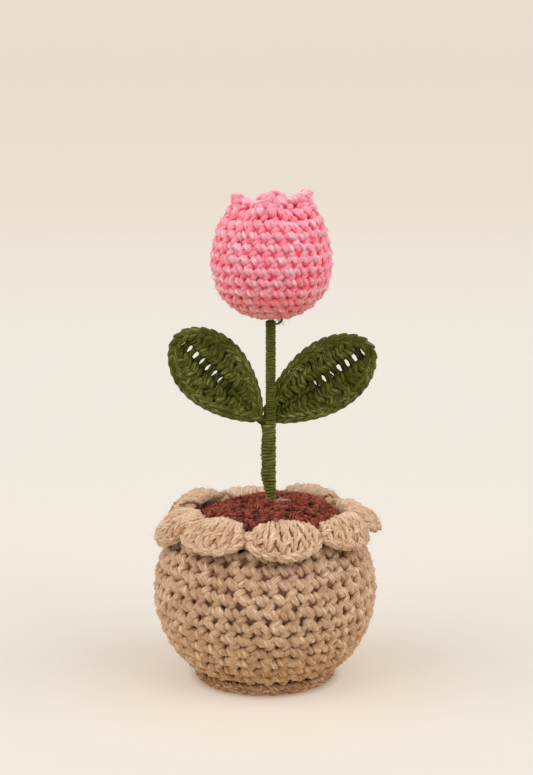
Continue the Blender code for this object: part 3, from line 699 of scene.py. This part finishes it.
def make_ruffle(material):
    """Eight shells: posts of leaning strands over the fold, wraps across them, loops and an edge."""
    yarn = Yarn("pot_ruffle", 0.0010, lit=0.45)
    share, arch = strand_steps(8)

    def post(shell, column, along, lean, radius, lift):
        """A strand up a shell: column counts posts, lean is how far it goes sideways."""
        jitter = vary(1.0, 6)
        along = along + 0.15 * jitter[0] + 0.12 * jitter[1] * arch
        fan = 0.42 + 0.58 * np.sin(0.5 * math.pi * np.clip((along - 0.8) / 5.6, 0, 1))
        sway = (lean + 0.14 * jitter[2]) * (share - 0.5) + 0.10 * jitter[3] * arch
        across = 0.5 + fan * ((column + sway) / RUFFLE_COLUMNS - 0.5)
        places, normals = ruffle_surface(shell + np.clip(across, 0.01, 0.99), along)
        heights = lift + 0.00020 * jitter[4] - 0.0010 * (1.0 - arch ** 0.5)
        radii = radius * tapered(arch, 0.62) * (1.0 + 0.07 * jitter[5])
        yarn.add_plied((places + heights[:, None] * normals)[None], radii, normals[None],
                       heights, 0.0020)

    for shell in range(SHELLS):
        for column in range(RUFFLE_COLUMNS):
            middle = column + 0.5
            for twin in (-0.25, 0.25):
                post(shell, middle + twin, 1.0 + 3.8 * share, 0.0, 0.00112, -0.0002)
                post(shell, middle + twin, 3.8 + 3.0 * share, 2.2 * twin, 0.00108, -0.0007)
                post(shell, middle + 0.6 * twin, 5.7 + 1.8 * share, 2.4 * twin, 0.00090, -0.0006)
            post(shell, middle, 8.4 + 2.6 * share, 0.3, 0.00110, -0.0008)
            post(shell, middle, 4.9 + 0.9 * share, -0.95, 0.00080, -0.0002)
            post(shell, middle + 0.5, 6.7 + 0.8 * arch, 0.95, 0.00085, -0.0001)
    seams = np.arange(SHELLS)[:, None]
    places, normals = ruffle_surface(seams + 0.002, 4.0 + 8.5 * share)
    yarn.add_plied(places - 0.0004 * normals, 0.0013, normals, -0.0006, 0.0020)

    def edge(along, across):
        return ruffle_surface(along / SHELL_CHAINS, 7.75 + across)

    rows = ((-0.75, 0.50, -1.0), (0.30, 0.50, 1.0))
    braid(yarn, edge, SHELLS * SHELL_CHAINS, rows, 0.00115, 0.0020, sink=0.0006)
    yarn.add_fuzz(900, 0.0032, 0.00003)
    return yarn.build("ruffle_crochet", material)


# Soil

def soil_place(turn, along):
    """A point of the soil's dome: along is 0 at the edge and 1 at the peak."""
    outward = np.clip(1.0 - along, 0.001, 1.0)
    drop = outward ** (SOIL_FULLNESS + SOIL_SKEW * np.cos(turn))
    spots = polar(turn, SOIL_RADIUS * outward, SOIL_TOP_Z - (SOIL_TOP_Z - SOIL_EDGE_Z) * drop)
    spots[..., 0] += SOIL_PEAK_X * (1.0 - outward)
    return spots


SOIL_SURFACE = surface_of(soil_place, 0.01)


def add_tufts(yarn):
    """A nap of short fibres in tufts that lie this way and that."""
    share, arch = strand_steps(5)
    turn = RNG.uniform(0, TAU, (SOIL_TUFTS, 1))
    along = 1.0 - np.sqrt(RNG.uniform(0.004, 1.10, (SOIL_TUFTS, 1)))
    heading = RNG.uniform(0, TAU, (SOIL_TUFTS, 1, 1))
    reach = RNG.uniform(0.0020, 0.0040, (SOIL_TUFTS, 1))
    rise = RNG.uniform(0.0001, 0.0009, (SOIL_TUFTS, 1))
    tint = vary(2.0, SOIL_TUFTS)
    centre, normal = SOIL_SURFACE(turn, along)
    side = unit(np.cross(normal, (0.0, 1.0, 0.0)) + 1e-6)
    forward = np.cos(heading) * side + np.sin(heading) * np.cross(side, normal)
    sideways = np.cross(normal, forward)
    for number in range(TUFT_HAIRS):
        spread = (number - 0.5 * (TUFT_HAIRS - 1)) * HAIR_GAP
        wander = vary(0.0005, SOIL_TUFTS, 1, 1)
        lift = rise * arch + vary(0.00018, SOIL_TUFTS, 1) - 0.0006 * (1.0 - arch)
        paths = (centre + forward * (reach * (share - 0.5))[..., None]
                 + sideways * (spread + wander * share[:, None])
                 + normal * (lift + 0.0001)[..., None])
        yarn.add(paths, HAIR_RADIUS * (0.5 + 0.5 * arch), normal, lift - 0.0003, 0.0016, sides=3,
                 tint=tint + vary(1.5, SOIL_TUFTS))


def add_wisps(yarn):
    """Pale fibres on the soil, to the right of the stem."""
    share, arch = strand_steps(5)
    turn = RNG.uniform(-0.5, 2.2, (WISPS, 1))[:, 0]
    start = np.stack([STEM_X + STEM_RADIUS + RNG.uniform(0.0, 0.0035, WISPS),
                      RNG.uniform(-0.0018, 0.0010, WISPS), np.full(WISPS, WISP_Z)], -1)
    reach = RNG.uniform(0.0012, 0.0035, (WISPS, 1))
    step = polar(turn, 1.0, 0.0) - (0.0, 0.5, 0.0)
    paths = start[:, None] + reach[:, None] * share[:, None] * step[:, None]
    paths[..., 2] += 0.0007 * arch
    yarn.add(paths, 0.00007, UP, 0.001, 0.001, sides=4, pale=0.8)


def make_soil(material):
    """Brown crochet under a nap of tufts, with a strand round it in painted shade that meets the
    ruffle.
    """
    yarn = Yarn("soil", 0.0009)
    rounds = rounds_on(lambda along: SOIL_RADIUS * (1.0 - along), 0.0, 0.93, SOIL_ROUNDS, SOIL_STITCH)
    stitched(yarn, SOIL_SURFACE, rounds, SOIL_PITCH, span=0.0026, sink=0.0011, wobble=2.5)
    add_tufts(yarn)
    yarn.add_fuzz(700, 0.0026, 0.00004, lean=0.3)
    add_wisps(yarn)
    # Painted shade: the strand round the soil is kept dark, as the gap by the ruffle is shaded
    rim = polar(TAU * np.arange(97) / 96, SOIL_RIM_RADIUS, SOIL_EDGE_Z - 0.0006)
    yarn.add(rim[None], 0.0013, UP, -0.0018, 0.0016, sides=8)
    return yarn.build("soil_crochet", material)


# Stem

def make_stem(material):
    """Yarn wound round the wires, coarser and less even below the leaves."""
    yarn = Yarn("stem_wrap", 0.0005)
    heights, radii, height = [], [], STEM_FOOT_Z + 0.0006
    while height < STEM_TOP_Z - 0.0004:
        pitch, uneven = (COARSE_PITCH, 0.12) if height < COARSE_TOP_Z else (FINE_PITCH, 0.08)
        pitch *= 1.0 + vary(uneven)
        heights.append(height)
        radii.append(0.53 * pitch)
        height += pitch
    steps = 18
    turns = np.arange(len(heights) * steps) / steps
    level, radius = (np.interp(turns, range(len(heights)), kind) for kind in (heights, radii))
    level = level + 0.00016 * np.sin(TAU * turns + 1.3) * np.sin(0.7 * turns)
    at, *sides = np.transpose(WINDING_SIDES)
    left, right = (np.interp(level, at, side) for side in sides)
    uneven = np.where(level < COARSE_TOP_Z, 0.00012, 0.00007) * np.sin(0.37 * turns * TAU)
    reach = 0.5 * (right - left) - 0.8 * radius + uneven
    path = polar(TAU * turns, reach, level)
    path[:, 0] += 0.5 * (left + right)
    yarn.add(path[None], radius[None], polar(TAU * turns, 1.0, 0.0)[None], -0.0001, 0.0008, sides=8)
    loop = smooth_line(np.array(LOOSE_END) + (STEM_X, 0.0, 0.0), 5)
    yarn.add(loop[None], 0.00036, FRONT, 0.001, 0.001, sides=6)
    yarn.add_fuzz(160, 0.0020, 0.000022)
    return yarn.build("stem_winding", material)


# Leaves

def leaf_half_width(along):
    """Half width of a leaf at a share of its length."""
    along = np.clip(along, 0.0, 1.0)
    return LEAF_HALF_WIDTH * np.sqrt(np.clip(np.sin(math.pi * along ** LEAF_BELLY), 0.0, 1.0))


def leaf_outline(length, inset, count):
    """Evenly spaced points round a leaf's outline, drawn in by inset, as (along, across)."""
    share = 0.5 - 0.5 * np.cos(np.linspace(0.0, math.pi, 160))
    line = np.stack([share * length, leaf_half_width(share)], -1)
    line = np.concatenate([line, (line * (1.0, -1.0))[-2:0:-1]])
    ahead = unit(np.roll(line, -1, axis=0) - np.roll(line, 1, axis=0))
    line = line + inset * np.stack([ahead[:, 1], -ahead[:, 0]], -1)
    line = np.concatenate([line, line[:1]])
    reach = lengths_of(line)
    even = np.linspace(0.0, reach[-1], count, endpoint=False)
    return np.stack([np.interp(even, reach, line[:, axis]) for axis in (0, 1)], -1)


class Leaf(Yarn):
    """Strands on a leaf, laid by how far they are along its midrib and across it."""

    share, arch = strand_steps(7)

    def __init__(self, node, ends, holes):
        self.base, tip = np.array(ends)
        self.length = length = np.linalg.norm(tip - self.base)
        self.axis = (tip - self.base) / length
        self.across = np.cross(FRONT, self.axis)
        self.across *= np.sign(self.across[2])
        super().__init__(node, 0.0008, lit=0.1, thin=self.thin)
        cell = 0.98 * length / LEAF_COLUMNS
        self.pitch = pitch = 2.0 * cell
        self.holes = [(0.01 * length + cell * (column + 0.5), clear) for column, clear in holes]
        places = [place for place, clear in self.holes]
        between = [0.5 * (here + after) for here, after in zip(places, places[1:])]
        self.bridges = [places[0] - 0.5 * pitch, *between, places[-1] + 0.5 * pitch]
        self.bars = list(self.bridges)
        while self.bars[0] > 0.09 * length:
            self.bars.insert(0, self.bars[0] - pitch)
        while self.bars[-1] < 0.95 * length:
            self.bars.append(self.bars[-1] + pitch)

    def thin(self, verts):
        """Points of the leaf drawn in towards its middle, from front and back."""
        middle = self.base[1] + LEAF_BOW * ((verts - self.base) @ self.axis / self.length) ** 2
        verts[:, 1] = middle + 0.45 * (verts[:, 1] - middle)
        return verts

    def lay(self, along, across, side, height, radius, dive=0.0007, glow=0.0, **looks):
        """Strands on the front of the leaf, where side is 1, or on its back, where it is -1."""
        along, across = (np.reshape(value, (-1, len(self.share), 1)) for value in (along, across))
        bow = LEAF_BOW * (along / self.length) ** 2
        heights = np.reshape(height, (-1, 1)) - dive * (1.0 - self.arch ** 0.6)
        places = self.base + along * self.axis + across * self.across
        paths = places + (side * heights[..., None] - bow) * FRONT
        radii = np.reshape(radius, (-1, 1)) * tapered(self.arch, 0.62)
        # glow raises the lit value: painted light
        self.add(paths, radii, side * FRONT, heights + glow - 0.0011, 0.0019, sides=8, **looks)

    def add_posts(self, side):
        """Double crochet from the midrib out to both edges: rows of pairs that lean in turn."""
        open_from = self.bridges[0] - 0.1 * self.pitch
        for half in (1.0, -1.0):
            for bar in self.bars:
                width = leaf_half_width(bar / self.length) - 0.0026
                rows = max(1, round(width / LEAF_ROW))
                inner = 0.0017 if bar >= open_from else 0.0008
                if width < inner + 0.0006:
                    continue
                for row in range(rows):
                    for twin in (-0.25, 0.25):
                        jitter = vary(1.0, 5)
                        low = inner + (width - inner) * row / rows - 0.0006 * min(row, 1)
                        high = inner + (width - inner) * (row + 1) / rows + 0.0007
                        lean = (0.26 if row % 2 else -0.20) + 0.13 * jitter[0]
                        middle = twin + 0.5 * (row % 2) + 0.08 * jitter[1]
                        along = bar + self.pitch * (middle + 2.0 * lean * (self.share - 0.5))
                        along = along + 0.10 * (bar - 0.4 * self.length) * row / rows
                        room = leaf_half_width(along / self.length) - 0.0018
                        if room.min() < 0.0008:
                            continue
                        across = half * np.minimum(low + (high - low) * self.share, room)
                        self.lay(along, across, side, 0.00085 + 0.00015 * jitter[2],
                                 0.00088 * (1.0 + 0.13 * jitter[3]), dive=0.0010)

    def add_midrib(self, side):
        """Bridges between the holes, the holes' edges, and knots below the first hole."""
        swing = 2.0 * self.share - 1.0
        for bridge in self.bridges:
            for twin in (-0.00040, 0.00040):
                across = 0.0024 * swing
                self.lay(bridge + twin + 0.12 * across * side, across, side, 0.0005, 0.00046,
                         dive=0.0003)
        for place, clear in self.holes:
            rim = 0.0004 + 0.0006 * clear
            for edge in (-rim, rim, 0.0) if clear < 0.2 else (-rim, rim):
                across = 0.0017 * swing + vary(0.0003)
                along = place + edge + vary(0.00010) + 0.25 * across * side
                self.lay(along, across, side, 0.0003, 0.00034, dive=0.0002)
        knots = np.arange(0.0030, self.bridges[0], 0.0017)[:, None]
        self.lay(knots + 0.0024 * (self.share - 0.5), 0.0 * knots + 0.0012 * (self.share - 0.5),
                 side, 0.0007, 0.00070)

    def add_chains(self, side):
        """Two rows of chain stitches round the edge, which lean towards each other."""
        for inset, height, slant in ((0.00285, 0.0012, 0.0007), (0.00125, 0.0010, -0.0007)):
            ring = leaf_outline(self.length, inset, LEAF_CHAINS)
            outer = leaf_outline(self.length, inset - slant, LEAF_CHAINS)
            inner = leaf_outline(self.length, inset + slant, LEAF_CHAINS)
            ahead = np.roll(ring, -1, axis=0) - ring
            start = outer - 0.28 * ahead
            end = np.roll(inner, -1, axis=0) + 0.28 * ahead
            lines = start[:, None] + self.share[:, None] * (end - start)[:, None]
            # Painted light: the chains get a raised lit value, and a lighter tint than the posts
            self.lay(lines[..., 0], lines[..., 1], side,
                     height + vary(0.00008, LEAF_CHAINS), 0.00092, dive=0.0009,
                     glow=0.0003, tint=RNG.normal(1.0, 1.5, LEAF_CHAINS))

    def add_rim(self, foot):
        """A strand along the rim in painted rim light, and three from the midrib's foot to the stem.
        """
        share = self.share[:, None]
        rim = leaf_outline(self.length, 0.00050, LEAF_CHAINS)
        ahead = np.roll(rim, -1, axis=0) - rim
        outward = np.stack([-ahead[:, 1], ahead[:, 0]], -1)
        bulge = self.arch[:, None] * outward[:, None] * 0.09
        lines = rim[:, None] + (1.4 * share - 0.2) * ahead[:, None] - bulge
        # Painted rim light: a raised lit value, a lighter tint and a little pale
        self.lay(lines[..., 0], lines[..., 1], 1.0, 0.0006, 0.00066, dive=0.0002, glow=0.0014,
                 tint=np.full(LEAF_CHAINS, 2.0), pale=0.05)
        for across in (-0.0010, 0.0, 0.0010):
            self.lay(0.0040 - (0.0040 + foot) * self.share, across * (1.0 - 0.4 * self.share), 1.0,
                     0.0004, 0.00075, dive=0.0)


def make_leaf(node, ends, holes, foot, material):
    """A leaf of double crochet, edged with chain stitches, whose foot reaches to the stem."""
    leaf = Leaf(node, ends, holes)
    for side in (1.0, -1.0):
        leaf.add_posts(side)
        leaf.add_midrib(side)
        leaf.add_chains(side)
    leaf.add_rim(foot)
    leaf.add_fuzz(350, 0.0024, 0.000025)
    return leaf.build(f"{node}_crochet", material)


# Flower head

HEAD_CURVE = smooth_line(HEAD_OUTLINE, 8)
HEAD_REACH = lengths_of(HEAD_CURVE)
HEAD_SPAN = HEAD_REACH[-1]
HEAD_STEP = 0.0003


def head_section(along):
    """Radius and height of the unfolded head at a distance along its outline."""
    return [np.interp(along, HEAD_REACH, values) for values in HEAD_CURVE.T]


def head_place(turn, along):
    """A point of the head: round below, folded into a four-pointed star towards its rim."""
    radius, height = head_section(along)
    fold = np.clip((along - (HEAD_SPAN - STAR_HEIGHT)) / STAR_HEIGHT, 0.0, 1.0) ** 1.25
    sector = 0.5 * math.pi
    nearest = np.round(turn / sector) * sector
    lead = (turn - nearest) / (0.5 * sector)
    share = np.abs(lead)
    near = np.clip(share / STAR_BEND, 0.0, 1.0)
    far = np.clip((share - STAR_BEND) / (1.0 - STAR_BEND), 0.0, 1.0)
    arm = STAR_TIP - STAR_BLUNT * near + (STAR_HALF_WIDTH - STAR_TIP + STAR_BLUNT) * far
    width = STAR_HALF_WIDTH * near * np.sign(lead)
    star_x = arm * np.cos(nearest) - width * np.sin(nearest)
    star_y = arm * np.sin(nearest) + width * np.cos(nearest)
    x = radius * np.cos(turn) * (1.0 - fold) + star_x * fold
    y = radius * np.sin(turn) * (1.0 - fold) + star_y * fold
    tilt = STAR_TILT * np.cos(turn + STAR_TURN - STAR_TILT_TURN)
    height = height + fold * (STAR_DIP * (0.25 - share) + tilt)
    cos, sin = math.cos(STAR_TURN), math.sin(STAR_TURN)
    return np.stack([HEAD_X + cos * x - sin * y, sin * x + cos * y, HEAD_FOOT_Z + height], -1)


def head_surface(turn, along):
    """Points and normals of the head."""
    return surface_of(head_place, HEAD_STEP)(turn, np.clip(along, HEAD_STEP, HEAD_SPAN - HEAD_STEP))


def star_place(arm, out, across, lift):
    """A point on a ridge of the star: arm is its turn, and out and across are lengths from the hub."""
    cos, sin = math.cos(arm), math.sin(arm)
    shoulder = STAR_TIP - STAR_BLUNT
    inward = np.clip((shoulder - out) / (shoulder - STAR_HALF_WIDTH), 0.0, 1.0)
    dip = STAR_DIP * (0.25 - STAR_BEND - (1.0 - STAR_BEND) * inward)
    tilt = STAR_TILT * math.cos(arm - STAR_TILT_TURN)
    height = HEAD_FOOT_Z + HEAD_CURVE[-1, 1] + dip + tilt * out / STAR_TIP + lift
    return np.stack([HEAD_X + cos * out - sin * across, sin * out + cos * across, height], -1)


def star_ridges(yarn):
    """Chain stitches along the four ridges on top of the head, and strands round each tip."""
    share, arch = strand_steps(7)
    bend = math.pi * (share - 0.5)
    for number in range(4):
        arm = STAR_TURN + number * 0.5 * math.pi
        for side in (-1.0, 1.0):
            for step in range(4):
                jitter = vary(0.00015, 3)
                out = 0.0006 + 0.0028 * step + jitter[0] + 0.0040 * share
                across = side * (0.0025 - 0.0017 * share) + jitter[1]
                lift = -0.0018 + 0.0009 * share + 0.0004 * arch + jitter[2]
                yarn.add(star_place(arm, out, across, lift)[None], 0.00148 * tapered(arch, 0.65), UP,
                         lift + 0.0005, 0.0019)
        hub = star_place(arm, -0.0008 + 0.0030 * share, -0.0008 + 0.0016 * share,
                         -0.0016 + 0.0004 * arch)
        yarn.add(hub[None], 0.0014, UP, 0.0, 0.0019)
        away = unit(polar(arm + bend, 1.0, 0.4))
        for low, reach in ((-0.0006, 0.0019), (-0.0020, 0.0026), (-0.0038, 0.0028)):
            out = STAR_TIP - 0.0034 + reach * np.cos(bend)
            tip = star_place(arm, out, 0.92 * reach * np.sin(bend), low + 0.0008 * share)
            yarn.add(tip[None], 0.00138, away, 0.0002, 0.0021)


def make_flower(material):
    """The head in rounds of single crochet, its rim folded and sewn into four ridges."""

    def thin(verts):
        """Points of the head with its top drawn in, to lie under the ridges' strands."""
        top = np.clip((verts[:, 2:] - HEAD_FOOT_Z - 0.030) / 0.010, 0.0, 1.0)
        middle = np.array([HEAD_X, 0.0, HEAD_FOOT_Z + 0.020])
        return verts + 0.10 * top * (middle - verts)

    yarn = Yarn("flower_head", 0.0008, lit=0.20, thin=thin)
    rounds = rounds_on(lambda along: head_section(along)[0], 0.0, HEAD_SPAN, HEAD_ROUNDS, HEAD_STITCH)
    stitched(yarn, head_surface, rounds, HEAD_SPAN / HEAD_ROUNDS, span=0.0021, plump=0.98,
             sink=0.0003, wobble=1.0)
    star_ridges(yarn)
    yarn.add_fuzz(900, 0.0026, 0.00003)
    yarn.add_fuzz(1600, 0.0014, 0.00004, lean=1.0)
    return yarn.build("flower_crochet", material)


# Stage

def make_floor():
    """A pale floor that turns up far from the object, with painted shadow and light, and a glow."""
    rings = [(0.5, 0.0)] + [(3.0 + 0.5 * step, 0.005 * step ** 2) for step in range(30)]
    turns = TAU * np.arange(FLOOR_CORNERS) / FLOOR_CORNERS
    bm = bmesh.new()
    loops = [[bm.verts.new(spot) for spot in polar(turns, *ring)] for ring in rings]
    bm.faces.new(loops[0])
    for inner, outer in zip(loops, loops[1:]):
        for step in range(FLOOR_CORNERS):
            after = (step + 1) % FLOOR_CORNERS
            bm.faces.new((inner[step], outer[step], outer[after], inner[after]))
    mesh = bpy.data.meshes.new("floor")
    bm.to_mesh(mesh)
    bm.free()
    mesh.shade_smooth()
    material = bpy.data.materials.new("floor_paper")
    nodes = Nodes(material)
    away = nodes.make("ShaderNodeVectorMath", operation="LENGTH", i0=nodes.body()).outputs["Value"]
    # Painted shadow and light on the floor, by distance from the object
    paper = FLOOR_CONTACT_SHADOW
    for start, full, colour in FLOOR_TONES:
        paper = nodes.mix(nodes.ramp(away, start, full), paper, colour)
    shade = nodes.make("ShaderNodeVectorMath", operation="SCALE", i0=paper, Scale=FLOOR_SHADE)
    # The glow is painted light that lightens the floor's shadows
    nodes.make("Principled BSDF", Base_Color=shade.outputs[0], Emission_Color=paper,
               Emission_Strength=FLOOR_GLOW, Roughness=0.95, Specular_IOR_Level=0.0)
    mesh.materials.append(material)
    put("floor", mesh)


def make_surround():
    """A pale surround that lights the object, with the backdrop's tone where the camera sees it."""
    world = bpy.data.worlds.new("surround")
    bpy.context.scene.world = world
    nodes = Nodes(world)
    seen = nodes.make("ShaderNodeLightPath").outputs["Is Camera Ray"]
    nodes.make("Background", Color=nodes.mix(seen, SKY, BACKDROP), Strength=SURROUND_STRENGTH)


def soft_light(name, place, strength):
    """A broad far light that shines from a place towards the origin."""
    data = bpy.data.lights.new(name, "SUN")
    data.angle = LAMP_SPREAD
    data.energy = strength
    data.color = LAMP
    x, y, z = place
    turn = math.atan2(y, x) + 0.5 * math.pi
    put(name, data).rotation_euler = (math.atan2(math.hypot(x, y), z), 0.0, turn)


def make_camera():
    """The photograph's view: a little above the pot, looking down at it."""
    camera = put("camera", bpy.data.cameras.new("camera"))
    camera.data.lens = LENS
    camera.data.sensor_width = 36.0
    camera.data.clip_start = 0.01
    camera.data.clip_end = 50.0
    x, y, z = CAMERA_AIM
    camera.location = (x, y - CAMERA_DISTANCE * math.cos(CAMERA_PITCH),
                       z + CAMERA_DISTANCE * math.sin(CAMERA_PITCH))
    camera.rotation_euler = (0.5 * math.pi - CAMERA_PITCH, 0.0, 0.0)
    bpy.context.scene.camera = camera


def settle(piece, nodes):
    """Fix a piece to the body and hide the CAD parts that it stands in for."""
    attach(piece, "root")
    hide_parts(*nodes)


beige = yarn_material("beige_yarn_look", BEIGE, 0.30)
# The ruffle's material is a lit copy of the beige: painted light
pale = yarn_material("beige_yarn_lit_copy", BEIGE_LIT_COPY, 0.20, fibre=0.42, bounce_tint=RUFFLE_FLOOR_BOUNCE)
# The base's material is a shaded copy of the beige: painted shade
low = yarn_material("beige_yarn_shaded_copy", BEIGE_SHADED_COPY, 0.05, fibre=0.6, shine=0.4)
pink = yarn_material("pink_yarn_look", PINK, 0.95, fibre=0.45, shine=0.85)
green = yarn_material("green_yarn_look", GREEN, 0.25, fibre=0.70, shine=0.7, specular=0.08,
                      relief=0.3, down=GREEN_FUZZ)
wound = yarn_material("green_yarn_wound", GREEN_STEM, 0.25, specular=0.08, relief=0.3,
                      down=GREEN_FUZZ)
brown = yarn_material("brown_yarn_look", BROWN, 0.10, fibre=0.8, shine=0.4)
fill = plain_material("fill_look", WHITE_FILL, 0.9, 300.0, 0.95)
metal = plain_material("wire_look", METAL, 0.7, 400.0, 0.4, metallic=0.6)
bound = plain_material("wire_bound", GREEN_STEM[0], 0.5, 900.0, 0.8)
looks = {"pot_stuffing": fill, "flower_stuffing": fill, "stem_wire": metal,
         "leaf_wire_left": bound, "leaf_wire_right": bound}
for node, look in looks.items():
    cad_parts[node].data.materials.clear()
    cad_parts[node].data.materials.append(look)
make_camera()
settle(make_pot(beige), ["pot_body"])
settle(make_base(low), ["pot_base"])
settle(make_ruffle(pale), ["pot_ruffle"])
settle(make_soil(brown), ["soil"])
settle(make_stem(wound), ["stem_wrap"])
for node, details in LEAVES.items():
    settle(make_leaf(node, *details, green), [node])
settle(make_flower(pink), ["flower_head"])
make_floor()
make_surround()
soft_light("left", (-1.00, -0.35, 0.75), 2.0)
soft_light("right", (1.00, -0.35, 0.75), 2.0)
soft_light("front", (0.05, -1.00, 1.50), 0.6)
bpy.context.scene.view_settings.view_transform = "Standard"
